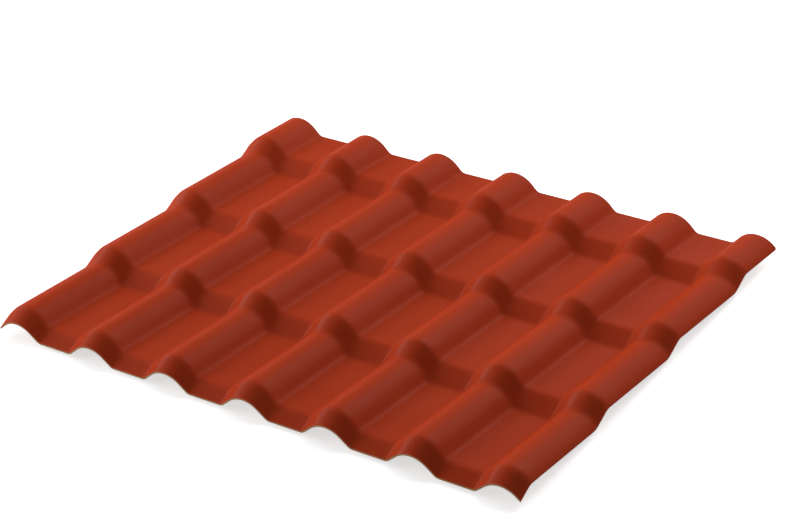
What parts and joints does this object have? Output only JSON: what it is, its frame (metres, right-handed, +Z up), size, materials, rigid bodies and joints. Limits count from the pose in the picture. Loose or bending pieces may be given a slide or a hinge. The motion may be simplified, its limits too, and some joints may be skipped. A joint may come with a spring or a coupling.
{
  "type": "synthetic resin roof tile",
  "caption": "Thin roof sheet with rounded waves running down the slope and stepped across it, so that it looks like rows of overlapping barrel tiles.",
  "frame": {"origin": "middle of the sheet's footprint, on the level the sheet lies on", "axes": "+X across the waves towards the right of the picture, +Y up the roof slope from the near edge to the far edge, +Z up, away from the roof"},
  "size_m": [1.035, 0.79, 0.0463],
  "materials": {
    "resin": "satin terracotta resin skin"
  },
  "bodies": {
    "root": {"tile_sheet": "resin"}
  },
  "joints": []
}
